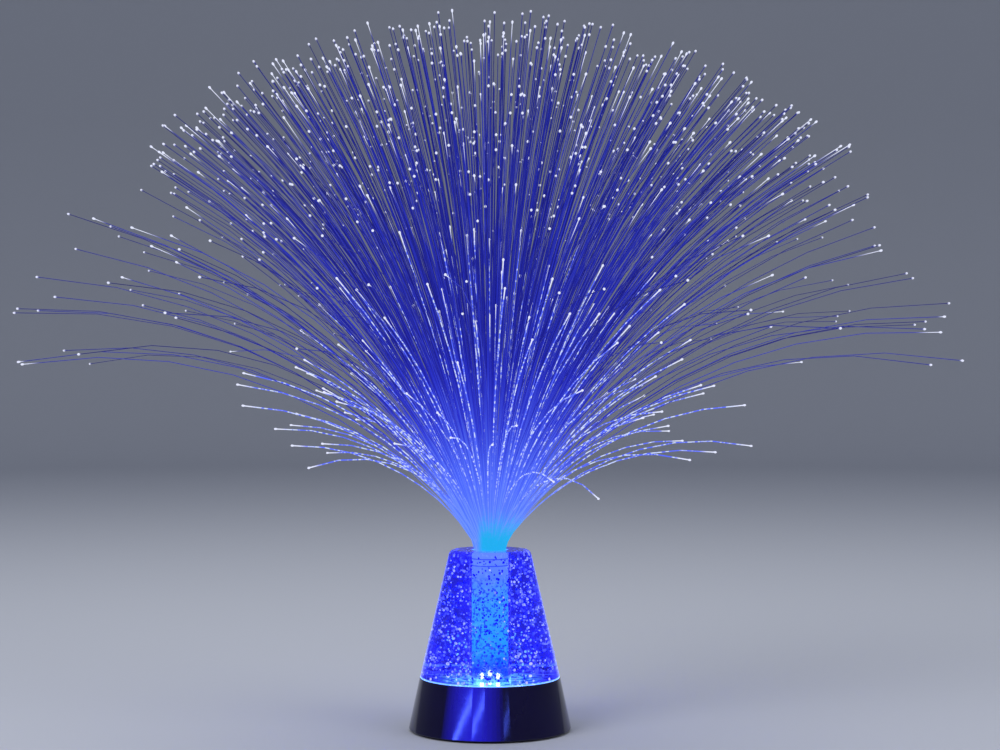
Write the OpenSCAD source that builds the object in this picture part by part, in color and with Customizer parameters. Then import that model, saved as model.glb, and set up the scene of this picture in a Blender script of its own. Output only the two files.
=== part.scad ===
// Fibre optic lamp: a black battery base, a clear cone with a centre tube, and a spray of fibres.
// Millimetres, +Z up. The origin is on the table, on the lamp's axis. The front is -Y.

/* [Base] */
// Outer radius of the base at its lower edge
base_bottom_r = 37.5; // [36:0.5:46]
// Outer radius of the base at its upper rim
base_top_r = 32.5; // [32:0.5:40]
// Height of the upper rim above the table
base_top_z = 24.4; // [24:0.2:30]
// Thickness of the side wall
wall = 2; // [1.6:0.1:2.4]
// Thickness of the deck that carries the cone
deck_t = 2; // [1.6:0.1:2.6]
// Thickness of the bottom plate
plate_t = 2; // [1.6:0.1:2.6]
// Height that the rubber feet hold the bottom plate off the table
foot_h = 1.2; // [1:0.1:2]
// Radius of a rubber foot
foot_r = 3.5; // [2.8:0.1:4.2]

/* [Clear cone] */
// Step from the base rim in to the foot of the cone
rim_step = 0.2; // [0:0.1:1]
// Radius of the cone at its top, before its edge is rounded
cone_top_r = 18.6; // [15:0.1:23]
// Height of the cone above the base rim
cone_h = 58.9; // [48:0.1:71]
// Radius of the rounded upper edge
cone_edge_r = 2.8; // [1:0.1:4]
// Depth of the spigot that sits in the base rim
spigot_h = 1.8; // [1.4:0.1:2.2]

/* [Tube and bundle] */
// Outer radius of the centre tube
tube_r = 8.5; // [8:0.1:10.2]
// Wall of the centre tube
tube_wall = 0.4; // [0.4:0.1:0.8]
// Wall of the ferrule round the fibre bundle
ferrule_wall = 0.5; // [0.5:0.05:1]
// Length of the ferrule and bundle inside the tube
ferrule_len = 23; // [19:0.5:28]

/* [Fibres] */
// Length of the longest fibres
fibre_len = 250; // [208:1:300]
// Radius of one strand
fibre_r = 0.26; // [0.2:0.01:0.28]
// Lean of the outermost fibres at their tips, from upright
fibre_lean = 92; // [70:1:100]
// Lean at the tips of the outermost fibres in the dense part of the spray
dense_lean = 58; // [50:1:65]
// Rings of fibres in the bundle
fibre_rings = 10; // [9:1:11]

/* [Cells and electronics] */
// Radius of a cell
cell_r = 5.25; // [5.2:0.05:5.4]
// Length of a cell with its cap
cell_len = 44.5; // [42:0.1:45]
// Radius of the circuit board
board_r = 16; // [15:0.1:17]
// Thickness of the circuit board
board_t = 1.6; // [1.2:0.1:2]
// Room between the battery tray and the circuit board
board_room = 1.2; // [1.1:0.1:2]
// Radius of an LED's body
led_r = 2.45; // [2:0.05:2.5]
// Distance of each LED from the lamp's axis
led_pitch_r = 4.2; // [4:0.1:4.6]

/* [Switch] */
// Travel of the slider
switch_travel = 3; // [2:0.5:4]
// Height of the switch above the table
switch_z = 10.5; // [9.5:0.1:11.5]
// Width of the knob
knob_w = 3; // [2.4:0.1:3.6]

/* [Hidden] */
$fn = 96;
cut = 1;

// Clearances
slide_gap = 0.07;
seat_gap = 0.1;
loose_gap = 0.2;
screw_gap = 0.05;

// Heights of the base
shell_z = foot_h - 0.4;
plate_z = foot_h;
plate_top_z = plate_z + plate_t;
deck_top_z = base_top_z - spigot_h - seat_gap * 2;
deck_z = deck_top_z - deck_t;
function base_r(z) = base_bottom_r + (base_top_r - base_bottom_r) * (z - shell_z) / (base_top_z - shell_z);
recess_r = base_top_r - wall;
plate_r = base_r(plate_top_z) - wall - loose_gap;

// Clear cone
cone_top_z = base_top_z + cone_h;
cone_bottom_r = base_top_r - rim_step;
spigot_r = recess_r - seat_gap;
cone_bore_r = tube_r + screw_gap;

// Tube, ferrule and bundle
tube_top_z = cone_top_z - 1;
tube_bore_r = tube_r - tube_wall;
ferrule_r = tube_bore_r - slide_gap;
ferrule_lip_r = tube_r - 0.05;
ferrule_lip_h = 0.9;
ferrule_top_z = tube_top_z + ferrule_lip_h + 0.02;
ferrule_z = ferrule_top_z - ferrule_len;
bundle_gap = 0.05;
bundle_side_gap = 0.12;
bundle_r = ferrule_r - ferrule_wall - bundle_side_gap;
ring_pitch = 3.1;
ring_count = 3;
ring_depth = 0.15;
ring_h = 0.5;

// Cells, tray and door
cell_pitch = cell_r * 2 + 0.4;
cell_z = plate_top_z + cell_r + 0.1;
cap_h = 1;
contact_t = 0.4;
spring_room = 5.2;
tray_wall = 1.2;
tray_half_w = cell_pitch * 1.5 + 0.2;
tray_len = cell_len + spring_room + contact_t * 2 + 0.2;
tray_front_y = -tray_len / 2 - 0.6;
tray_back_y = tray_front_y + tray_len;
tray_mid_y = (tray_front_y + tray_back_y) / 2;
tray_top_z = cell_z + cell_r + 0.2;
tray_roof_t = 0.8;
door_w = tray_half_w * 2 + tray_wall;
door_len = tray_len + tray_wall;
door_lip = 0.6;

// Screws
boss_r = 3;
boss_inset = 5.5;
boss_ring_r = min(base_bottom_r, base_top_r) - boss_inset;
boss_angles = [20, 160, 200, 340];
pilot_r = 1.15;
bottom_screw_len = 9;
head_r = 2.2;
head_h = 1.3;
foot_inset = 1.3;
foot_ring_r = plate_r - foot_r - foot_inset;
foot_angles = [40, 140, 220, 320];
board_boss_r = 2;
board_boss_ring_r = board_r - 2.6;
board_boss_angles = [30, 150, 270];

// Board and LEDs
board_z = tray_top_z + tray_roof_t + board_room;
board_top_z = board_z + board_t;
board_drop = deck_z - board_top_z;
function board_edge_y(x) = sqrt(board_r * board_r - x * x);
led_flange_r = led_r + 0.4;
led_flange_h = 0.8;
led_len = 8.6;
led_angles = [90, 210, 330];
holder_z = board_top_z + led_flange_h;
holder_r = board_boss_ring_r - board_boss_r - 0.4;

// Switch
pad_inset = 2.4;
pad_y = base_r(switch_z) - wall - pad_inset;
pad_t = 2;
pad_w = 20;
pad_h = 12.4;
recess_w = 14;
recess_h = 8.6;
knob_h = 2;
slot_w = switch_travel + knob_w + 0.6;
slot_h = knob_h + 0.5;
housing_w = 13;
housing_h = 6.4;
housing_t = 4.2;
ear_w = 19;
ear_t = 1;
slider_w = 5.2;
slider_h = 3.4;
slider_t = 2.2;
knob_reach = pad_t + 1.6;
switch_screw_x = 8;
switch_screw_r = 0.75;

// A screw that points up, with its head's seat at z = 0 and a cross cut in the head
module screw(length, shank_r = 1.1, cap_r = head_r, cap_h = head_h) {
  slot_wide = cap_r * 0.3;
  difference() {
    union() {
      translate([0, 0, -cap_h]) cylinder(r = cap_r, h = cap_h);
      translate([0, 0, -cut / 2]) cylinder(r = shank_r, h = length + cut / 2);
    }
    for (turn = [0, 90])
      rotate([0, 0, turn])
        translate([-cap_r * 0.7, -slot_wide / 2, -cap_h - cut])
          cube([cap_r * 1.4, slot_wide, cut + cap_h * 0.5]);
  }
}

module on_ring(radius, angles) {
  for (turn = angles)
    rotate([0, 0, turn])
      translate([radius, 0, 0])
        children();
}

// A tube of straight runs along a list of points, closed at both ends
function unit(v) = v / norm(v);
function path_direction(path, i) =
  unit(path[min(i + 1, len(path) - 1)] - path[max(i - 1, 0)]);
function across(direction) =
  abs(direction[2]) < 0.9 ? unit(cross(direction, [0, 0, 1])) : unit(cross(direction, [1, 0, 0]));

module tube_along(path, radius, sides = 6) {
  last = len(path) - 1;
  points = [
    for (i = [0 : last])
      let (direction = path_direction(path, i), side = across(direction), up = cross(direction, side))
        for (j = [0 : sides - 1])
          path[i] + radius * (cos(360 * j / sides) * side + sin(360 * j / sides) * up)
  ];
  walls = [
    for (i = [0 : last - 1], j = [0 : sides - 1])
      let (a = i * sides + j, b = i * sides + (j + 1) % sides)
        each [[a, b, a + sides], [b, b + sides, a + sides]]
  ];
  first_cap = [for (j = [1 : sides - 2]) [0, j + 1, j]];
  last_cap = [for (j = [1 : sides - 2]) [last * sides, last * sides + j, last * sides + j + 1]];
  polyhedron(points = points, faces = concat(walls, first_cap, last_cap));
}

module base_cone_solid() {
  rotate_extrude()
    polygon([
      [0, shell_z],
      [base_bottom_r, shell_z],
      [base_top_r, base_top_z],
      [0, base_top_z]
    ]);
}

// The room inside the side wall, less a clearance
module shell_room(gap) {
  rotate_extrude()
    polygon([
      [0, plate_z],
      [base_r(plate_z) - wall - gap, plate_z],
      [base_r(deck_z) - wall - gap, deck_z],
      [0, deck_z]
    ]);
}

module base_shell() {
  color([0.02, 0.02, 0.025])
    difference() {
      union() {
        rotate_extrude()
          polygon([
            [base_bottom_r - wall, shell_z],
            [base_bottom_r - 0.3, shell_z],
            [base_bottom_r, shell_z + 0.4],
            [base_top_r, base_top_z - 0.2],
            [base_top_r - 0.2, base_top_z],
            [recess_r, base_top_z],
            [recess_r, deck_top_z],
            [cone_bore_r, deck_top_z],
            [cone_bore_r, deck_z],
            [base_r(deck_z) - wall, deck_z]
          ]);
        intersection() {
          base_cone_solid();
          translate([-pad_w / 2, pad_y, switch_z - pad_h / 2]) cube([pad_w, 10, pad_h]);
        }
        on_ring(boss_ring_r, boss_angles)
          translate([0, 0, plate_top_z]) cylinder(r = boss_r, h = deck_z - plate_top_z + deck_t / 2);
        on_ring(board_boss_ring_r, board_boss_angles)
          translate([0, 0, board_top_z]) cylinder(r = board_boss_r, h = board_drop + deck_t / 2);
      }
      translate([-recess_w / 2, pad_y + pad_t, switch_z - recess_h / 2]) cube([recess_w, 10, recess_h]);
      translate([-slot_w / 2, pad_y - cut, switch_z - slot_h / 2]) cube([slot_w, 10, slot_h]);
      for (side = [-1, 1])
        translate([side * switch_screw_x, pad_y - cut, switch_z])
          rotate([-90, 0, 0]) cylinder(r = switch_screw_r + screw_gap, h = cut + 1.6);
      on_ring(boss_ring_r, boss_angles)
        translate([0, 0, plate_top_z - cut]) cylinder(r = pilot_r, h = bottom_screw_len + cut);
      on_ring(board_boss_ring_r, board_boss_angles)
        translate([0, 0, board_top_z - cut]) cylinder(r = pilot_r - 0.3, h = board_drop + cut);
    }
}

module bottom_plate() {
  tray_out_w = (tray_half_w + tray_wall) * 2;
  tray_out_len = tray_len + tray_wall * 2;
  color([0.05, 0.05, 0.055])
    difference() {
      union() {
        translate([0, 0, plate_z]) cylinder(r = plate_r, h = plate_t);
        intersection() {
          translate([-tray_out_w / 2, tray_front_y - tray_wall, plate_z])
            cube([tray_out_w, tray_out_len, tray_top_z + tray_roof_t - plate_z]);
          shell_room(loose_gap);
        }
      }
      translate([-tray_half_w, tray_front_y, plate_z - cut])
        cube([tray_half_w * 2, tray_len, tray_top_z - plate_z + cut]);
      translate([-door_w / 2 - loose_gap, tray_mid_y - door_len / 2 - loose_gap, plate_z - cut])
        cube([door_w + 2 * loose_gap, door_len + 2 * loose_gap, door_lip + 0.6 + cut]);
      on_ring(boss_ring_r, boss_angles)
        union() {
          translate([0, 0, plate_z - cut]) cylinder(r = pilot_r + 0.3, h = plate_t + 2 * cut);
          translate([0, 0, plate_z - cut]) cylinder(r = head_r + 0.3, h = cut + head_h);
        }
    }
}

module battery_door() {
  grip_count = 6;
  color([0.05, 0.05, 0.055])
    difference() {
      union() {
        translate([-door_w / 2, tray_mid_y - door_len / 2, plate_z]) cube([door_w, door_len, door_lip + 0.5]);
        translate([-tray_half_w + loose_gap, tray_front_y + loose_gap, plate_z])
          cube([2 * (tray_half_w - loose_gap), tray_len - 2 * loose_gap, plate_t]);
      }
      for (i = [0 : grip_count - 1])
        translate([-6, tray_front_y + 3 + i * 1.6, plate_z - cut]) cube([12, 0.7, cut + 0.4]);
    }
}

module battery(index) {
  flip = index == 1 ? -1 : 1;
  x = (index - 1) * cell_pitch;
  plus_y = flip > 0 ? tray_back_y - contact_t - 0.05 : tray_front_y + contact_t + 0.05;
  color([0.62, 0.64, 0.68])
    translate([x, plus_y, cell_z])
      rotate([flip * 90, 0, 0])
        rotate_extrude()
          polygon([
            [0, 0],
            [1.8, 0],
            [1.9, 0.1],
            [1.9, cap_h],
            [cell_r - 0.4, cap_h],
            [cell_r, cap_h + 0.4],
            [cell_r, cell_len - 0.4],
            [cell_r - 0.4, cell_len],
            [0, cell_len]
          ]);
}

module contact_springs() {
  turns = 3;
  steps = 8;
  wire_r = 0.28;
  wide_r = 3.6;
  narrow_r = 2.2;
  first = contact_t + wire_r + 0.05;
  reach = spring_room - first + contact_t - wire_r - 0.15;
  count = turns * steps;
  color([0.75, 0.76, 0.78])
    for (index = [0 : 2]) {
      flip = index == 1 ? -1 : 1;
      start_y = flip > 0 ? tray_front_y : tray_back_y;
      translate([(index - 1) * cell_pitch, start_y, cell_z])
        tube_along([
          for (i = [0 : count])
            let (share = i / count, radius = wide_r + (narrow_r - wide_r) * share, turn = 360 * i / steps)
              [radius * cos(turn), flip * (first + reach * share), radius * sin(turn)]
        ], wire_r, 5);
    }
}

module contact_plates() {
  high = cell_r * 1.6;
  single_w = cell_pitch - 2;
  double_w = cell_pitch * 2 - 2;
  low_z = cell_z - high / 2;
  back_y = tray_back_y - contact_t;
  color([0.78, 0.78, 0.8]) {
    translate([-cell_pitch * 1.5 + 1, back_y, low_z]) cube([double_w, contact_t - 0.02, high]);
    translate([cell_pitch * 0.5 + 1, back_y, low_z]) cube([single_w, contact_t - 0.02, high]);
    translate([-cell_pitch * 1.5 + 1, tray_front_y + 0.02, low_z]) cube([single_w, contact_t - 0.02, high]);
    translate([-cell_pitch * 0.5 + 1, tray_front_y + 0.02, low_z]) cube([double_w, contact_t - 0.02, high]);
  }
}

module circuit_board() {
  color([0.05, 0.3, 0.14])
    difference() {
      translate([0, 0, board_z]) cylinder(r = board_r, h = board_t);
      on_ring(board_boss_ring_r, board_boss_angles)
        translate([0, 0, board_z - cut]) cylinder(r = pilot_r, h = board_t + 2 * cut);
    }
}

module controller_chip() {
  body_w = 4.9;
  body_d = 3;
  body_h = 1.3;
  leg_pitch = 1.27;
  mid_y = board_r - 2.6;
  color([0.08, 0.08, 0.09]) {
    translate([-body_w / 2, mid_y - body_d / 2, board_top_z + 0.1]) cube([body_w, body_d, body_h]);
    for (side = [-1, 1], i = [-1.5 : 1 : 1.5])
      translate([i * leg_pitch - 0.2, mid_y + side * (body_d / 2 + 0.25) - 0.35, board_top_z + 0.02])
        cube([0.4, 0.7, 0.6]);
  }
}

module resistors() {
  color([0.1, 0.1, 0.12])
    for (turn = [190, 200, 340])
      rotate([0, 0, turn])
        translate([board_r - 3.2, -0.8, board_top_z + 0.02])
          cube([1.6, 1.6 - 0.35, 0.6]);
}

module led(index) {
  color([0.75, 0.9, 1])
    rotate([0, 0, led_angles[index]])
      translate([led_pitch_r, 0, board_top_z + 0.02])
        rotate_extrude()
          union() {
            square([led_flange_r, led_flange_h - 0.06]);
            square([led_r, led_len - led_r]);
            intersection() {
              translate([0, led_len - led_r]) circle(r = led_r);
              square([led_r, led_len]);
            }
          }
}

module led_holder() {
  color([0.92, 0.93, 0.94])
    difference() {
      translate([0, 0, holder_z]) cylinder(r = holder_r, h = deck_z - holder_z - 0.02);
      on_ring(led_pitch_r, led_angles)
        translate([0, 0, holder_z - cut]) cylinder(r = led_r + 0.1, h = board_drop + 2 * cut);
    }
}

module switch_housing() {
  front_y = pad_y - 0.02;
  slot_len = switch_travel + slider_w + 0.4;
  color([0.7, 0.7, 0.72])
    difference() {
      union() {
        translate([-housing_w / 2, front_y - housing_t, switch_z - housing_h / 2])
          cube([housing_w, housing_t, housing_h]);
        translate([-ear_w / 2, front_y - ear_t, switch_z - housing_h / 2])
          cube([ear_w, ear_t, housing_h]);
      }
      translate([-slot_len / 2, front_y - slider_t - 0.5, switch_z - slider_h / 2 - 0.15])
        cube([slot_len, slider_t + 0.5 + cut, slider_h + 0.3]);
      for (side = [-1, 1])
        translate([side * switch_screw_x, front_y - ear_t - cut, switch_z])
          rotate([-90, 0, 0]) cylinder(r = switch_screw_r + screw_gap, h = ear_t + 2 * cut);
    }
}

module switch_slider() {
  mid_x = -switch_travel / 2;
  base_y = pad_y - 0.25 - slider_t;
  color([0.85, 0.85, 0.86])
    difference() {
      union() {
        translate([mid_x - slider_w / 2, base_y, switch_z - slider_h / 2]) cube([slider_w, slider_t, slider_h]);
        translate([mid_x - knob_w / 2, base_y, switch_z - knob_h / 2])
          cube([knob_w, slider_t + 0.25 + knob_reach, knob_h]);
      }
      for (i = [-1 : 1])
        translate([mid_x + i * knob_w / 4 - 0.15, pad_y + knob_reach - 0.3, switch_z - knob_h])
          cube([0.3, cut, knob_h * 2]);
    }
}

module switch_screws() {
  color([0.7, 0.7, 0.72])
    for (side = [-1, 1])
      translate([side * switch_screw_x, pad_y - ear_t - 0.04, switch_z])
        rotate([-90, 0, 0]) screw(ear_t + 1.4, switch_screw_r, 1.3, 0.8);
}

module board_screws() {
  color([0.7, 0.7, 0.72])
    on_ring(board_boss_ring_r, board_boss_angles)
      translate([0, 0, board_z - 0.02]) screw(board_t + board_drop - 0.6, 0.8, 1.7, 1);
}

module bottom_screws() {
  color([0.7, 0.7, 0.72])
    on_ring(boss_ring_r, boss_angles)
      translate([0, 0, plate_z + head_h - 0.02]) screw(plate_t - head_h + bottom_screw_len - 1);
}

module rubber_feet() {
  color([0.1, 0.1, 0.1])
    on_ring(foot_ring_r, foot_angles)
      rotate_extrude()
        polygon([
          [0, 0],
          [foot_r - 0.4, 0],
          [foot_r, 0.4],
          [foot_r, foot_h - 0.02],
          [0, foot_h - 0.02]
        ]);
}

module lead_wires() {
  wire_r = 0.55;
  low_z = tray_top_z + tray_roof_t + wire_r + 0.1;
  switch_y = pad_y - housing_t / 2;
  solder_gap = 0.3;
  color([0.7, 0.1, 0.08]) {
    for (side = [-1, 1])
      tube_along([
        [side * 3, switch_y, switch_z + housing_h / 2 + 0.05],
        [side * 3, switch_y, low_z - 0.6],
        [side * 3.2, switch_y - 0.8, low_z],
        [side * 4, board_r + 3, low_z],
        [side * 5, board_edge_y(5) + wire_r + solder_gap, board_z + board_t / 2]
      ], wire_r);
    for (side = [-1, 1])
      tube_along([
        [side * 9, tray_front_y - tray_wall - wire_r - 0.1, cell_z],
        [side * 9, tray_front_y - tray_wall - wire_r - 0.1, low_z - 0.8],
        [side * 8.6, tray_front_y - 1, low_z + 0.2],
        [side * 8, -board_r - 3, low_z],
        [side * 7, -board_edge_y(7) - wire_r - solder_gap, board_z + board_t / 2]
      ], wire_r);
  }
}

module crystal_cone() {
  lean = atan((cone_bottom_r - cone_top_r) / cone_h);
  edge_x = cone_top_r - cone_edge_r / cos(lean) * (1 - sin(lean));
  edge_z = cone_top_z - cone_edge_r;
  color([0.55, 0.7, 1, 0.45])
    rotate_extrude()
      polygon(concat(
        [
          [cone_bore_r, base_top_z - spigot_h],
          [spigot_r, base_top_z - spigot_h],
          [spigot_r, base_top_z + 0.02],
          [cone_bottom_r, base_top_z + 0.02]
        ],
        [for (turn = [lean : (90 - lean) / 8 : 90.01])
          [edge_x + cone_edge_r * cos(turn), edge_z + cone_edge_r * sin(turn)]],
        [
          [cone_bore_r + 0.3, cone_top_z],
          [cone_bore_r, cone_top_z - 0.3]
        ]
      ));
}

module centre_tube() {
  color([0.6, 0.85, 1, 0.6])
    difference() {
      translate([0, 0, deck_z]) cylinder(r = tube_r, h = tube_top_z - deck_z);
      translate([0, 0, deck_z - cut]) cylinder(r = tube_bore_r, h = tube_top_z - deck_z + 2 * cut);
    }
}

module bundle_ferrule() {
  color([0.5, 0.7, 1])
    difference() {
      union() {
        translate([0, 0, ferrule_z]) cylinder(r = ferrule_r, h = ferrule_len);
        translate([0, 0, ferrule_top_z - ferrule_lip_h]) cylinder(r = ferrule_lip_r, h = ferrule_lip_h);
      }
      translate([0, 0, ferrule_z - cut]) cylinder(r = ferrule_r - ferrule_wall, h = ferrule_len + 2 * cut);
      for (i = [0 : ring_count - 1])
        translate([0, 0, ferrule_top_z - ferrule_lip_h - (i + 1) * ring_pitch])
          difference() {
            cylinder(r = ferrule_r + cut, h = ring_h);
            translate([0, 0, -cut]) cylinder(r = ferrule_r - ring_depth, h = ring_h + 2 * cut);
          }
    }
}

// Fibres. Each strand lies in one upright plane through the lamp's axis, and a strand that starts
// further out leans further out all the way along, so no two strands cross.
sector = 45;
strand_sides = 3;
strand_runs = 4;
root_depth = 0.4;
exit_share = 0.48;
exit_reach = 3.5;
run_shares = [0.03, 0.13, 0.36];
golden = 0.61803399;

function fraction(x) = x - floor(x);
function strand_lean(lean, s) =
  lean * (exit_share * (1 - exp(-s / exit_reach)) + (1 - exit_share) * s / fibre_len);
function strand_s(i, length) =
  i == 0 ? 0 : root_depth + (i == strand_runs ? length : fibre_len * run_shares[i - 1]);
function strand_step(lean, s0, s1, parts = 8) =
  let (ds = (s1 - s0) / parts)
    [
      ds * sum([for (k = [0.5 : parts]) sin(strand_lean(lean, s0 + k * ds))]),
      ds * sum([for (k = [0.5 : parts]) cos(strand_lean(lean, s0 + k * ds))])
    ];
function sum(values, i = 0) = i == len(values) ? 0 : values[i] + sum(values, i + 1);
function strand_path(lean, length, at, i = 0) =
  i > strand_runs ? [] :
    let (next = i == strand_runs ? at : at + strand_step(lean, strand_s(i, length), strand_s(i + 1, length)))
      concat([at], strand_path(lean, length, next, i + 1));

// One strand, drawn in the plane through +X
module strand(start_r, lean, length) {
  path = strand_path(lean, length, [start_r, ferrule_top_z - root_depth]);
  points = [
    for (i = [0 : strand_runs], j = [0 : strand_sides - 1])
      let (
        tilt = strand_lean(lean, strand_s(i, length)),
        turn = 360 * j / strand_sides,
        out = fibre_r * cos(turn)
      )
        [path[i][0] + out * cos(tilt), fibre_r * sin(turn), path[i][1] - out * sin(tilt)]
  ];
  walls = [
    for (i = [0 : strand_runs - 1], j = [0 : strand_sides - 1])
      let (a = i * strand_sides + j, b = i * strand_sides + (j + 1) % strand_sides)
        each [[a, a + strand_sides, b], [b, a + strand_sides, b + strand_sides]]
  ];
  top = strand_runs * strand_sides;
  polyhedron(points = points, faces = concat(walls, [[0, 1, 2], [top + 2, top + 1, top]]));
}

ring_step = (bundle_r - fibre_r - 0.15) / fibre_rings;
function ring_radius(ring) = ring_step * ring;
function ring_strands(ring) = max(1, round(ring * sector * PI / 180 * 0.94));
dense_share = 0.7;
function ring_lean(ring) =
  let (share = pow(ring / fibre_rings, 2))
    share < dense_share
      ? acos(1 - share / dense_share * (1 - cos(dense_lean)))
      : dense_lean + (fibre_lean - dense_lean) * (share - dense_share) / (1 - dense_share);
function ring_turn(ring, i) =
  sector * ((i + (ring == 1 ? 0.5 : 0.4 + 0.2 * (ring % 2))) / ring_strands(ring) - 0.5);
function length_share(ring, i) =
  let (draw = fraction((ring * 7 + i * 3 + 1) * golden))
    draw < 0.3 ? 0.42 + draw * 0.9 : 0.9 + (draw - 0.3) / 7;

module fibre_sector(turn) {
  color([0.55, 0.7, 1])
    rotate([0, 0, turn])
      union() {
        rotate([0, 0, -sector / 2])
          translate([bundle_gap * cos(sector / 2), bundle_gap * sin(sector / 2), ferrule_z])
            rotate_extrude(angle = sector) square([bundle_r, ferrule_len]);
        for (ring = [1 : fibre_rings], i = [0 : ring_strands(ring) - 1])
          rotate([0, 0, ring_turn(ring, i)])
            strand(ring_radius(ring) + bundle_gap, ring_lean(ring), fibre_len * length_share(ring, i));
      }
}

module fibres_right() { fibre_sector(0); }
module fibres_back_right() { fibre_sector(sector); }
module fibres_back() { fibre_sector(sector * 2); }
module fibres_back_left() { fibre_sector(sector * 3); }
module fibres_left() { fibre_sector(sector * 4); }
module fibres_front_left() { fibre_sector(sector * 5); }
module fibres_front() { fibre_sector(sector * 6); }
module fibres_front_right() { fibre_sector(sector * 7); }

base_shell();
bottom_plate();
battery_door();
battery(0);  // battery_1
battery(1);  // battery_2
battery(2);  // battery_3
contact_springs();
contact_plates();
circuit_board();
controller_chip();
resistors();
led(0);  // led_1
led(1);  // led_2
led(2);  // led_3
led_holder();
switch_housing();
switch_slider();
switch_screws();
board_screws();
bottom_screws();
rubber_feet();
lead_wires();
crystal_cone();
centre_tube();
bundle_ferrule();
fibres_right();
fibres_back_right();
fibres_back();
fibres_back_left();
fibres_left();
fibres_front_left();
fibres_front();
fibres_front_right();
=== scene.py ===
import math
import random

import bmesh
import bpy
from mathutils import Matrix, Vector


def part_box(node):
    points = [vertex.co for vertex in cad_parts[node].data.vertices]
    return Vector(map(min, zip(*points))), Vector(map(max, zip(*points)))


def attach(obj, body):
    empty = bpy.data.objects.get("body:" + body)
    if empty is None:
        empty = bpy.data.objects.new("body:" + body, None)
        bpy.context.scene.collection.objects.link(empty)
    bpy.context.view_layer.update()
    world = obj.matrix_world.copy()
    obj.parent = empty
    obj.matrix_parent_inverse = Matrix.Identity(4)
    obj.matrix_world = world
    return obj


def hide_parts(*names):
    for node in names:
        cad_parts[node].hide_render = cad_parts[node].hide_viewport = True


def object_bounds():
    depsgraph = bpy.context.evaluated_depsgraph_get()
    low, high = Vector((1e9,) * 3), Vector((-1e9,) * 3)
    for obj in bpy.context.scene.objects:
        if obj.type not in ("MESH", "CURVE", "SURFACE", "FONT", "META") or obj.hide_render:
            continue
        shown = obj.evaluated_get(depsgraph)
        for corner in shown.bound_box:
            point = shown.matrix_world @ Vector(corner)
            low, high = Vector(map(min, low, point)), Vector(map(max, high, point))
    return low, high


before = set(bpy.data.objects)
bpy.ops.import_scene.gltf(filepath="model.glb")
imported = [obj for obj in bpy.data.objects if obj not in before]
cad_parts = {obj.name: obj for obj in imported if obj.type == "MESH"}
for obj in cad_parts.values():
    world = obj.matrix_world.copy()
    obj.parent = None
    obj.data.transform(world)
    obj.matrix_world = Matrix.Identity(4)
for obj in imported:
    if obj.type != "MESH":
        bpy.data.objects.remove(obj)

cad_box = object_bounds()
draw = random.Random(20)

# The photograph's frame and view, in metres and pixels
PHOTO_WIDTH = 1000
METRES_PER_PIXEL = 0.000463
AXIS_PIXEL_X = 490
CAMERA_DISTANCE = 0.92
CAMERA_HEIGHT = 0.164
SENSOR_WIDTH = 36.0

# Places on the lamp, read from the frame
RIM_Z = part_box("base_shell")[1][2]
CONE_TOP_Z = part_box("crystal_cone")[1][2]
CONE_FOOT_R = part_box("crystal_cone")[1][0]
TUBE_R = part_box("centre_tube")[1][0]
TUBE_TOP_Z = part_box("centre_tube")[1][2]
FERRULE_TOP_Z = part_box("bundle_ferrule")[1][2]
FERRULE_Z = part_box("bundle_ferrule")[0][2]
LED_TOP_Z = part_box("led_1")[1][2]
SPRAY_REACH = cad_box[1][0]
SPRAY_TOP_Z = cad_box[1][2]

# The radius of the cone's top, which its box doesn't give
CONE_TOP_R = 0.0186

# What both a material and a shape need: a fibre above BRIGHT_TONE is thick and carries painted
# glints, and a bubble marked with the last value here is one of those with painted cyan light near
# the tube's foot
FIBRE_LEN = 0.247
BRIGHT_TONE = 0.8
FOOT_LIGHT = -1.2

# Places of what the materials draw: the tube's darker level lines in its painted glow, the skin of
# the tube whose painted glow is brighter than its bore's, the painted teal pool of light in the
# cone's foot, how far below the cone's top its painted edge highlights fade out, the lit top of an
# LED and the band on a cell
RING_LOW_Z = 0.0731
RING_PITCH = 0.0031
TUBE_SKIN = 0.0002
POOL_R = (0.013, 0.024)
EDGE_HIGHLIGHT_END = (0.0032, 0.0022)
LENS_LIT_H = 0.0045
BAND_Y = (0.0125, 0.013)


# ---------------------------------------------------------------- shader expressions
class Value:
    """A number or colour that varies over a surface. Arithmetic on it adds Math nodes."""

    def __init__(self, paint, socket):
        self.paint = paint
        self.socket = socket

    def math(self, operation, *values, clamp=False):
        settings = {"operation": operation, "use_clamp": clamp}
        return self.paint.node("ShaderNodeMath", settings, dict(enumerate(values)))

    def __add__(self, other):
        return self.math("ADD", self, other)

    def __radd__(self, other):
        return self.math("ADD", other, self)

    def __sub__(self, other):
        return self.math("SUBTRACT", self, other)

    def __rsub__(self, other):
        return self.math("SUBTRACT", other, self)

    def __mul__(self, other):
        return self.math("MULTIPLY", self, other)

    def __rmul__(self, other):
        return self.math("MULTIPLY", other, self)

    def __truediv__(self, other):
        return self.math("DIVIDE", self, other)

    def __pow__(self, other):
        return self.math("POWER", self, other)

    def within(self):
        return self.math("ADD", self, 0.0, clamp=True)


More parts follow.
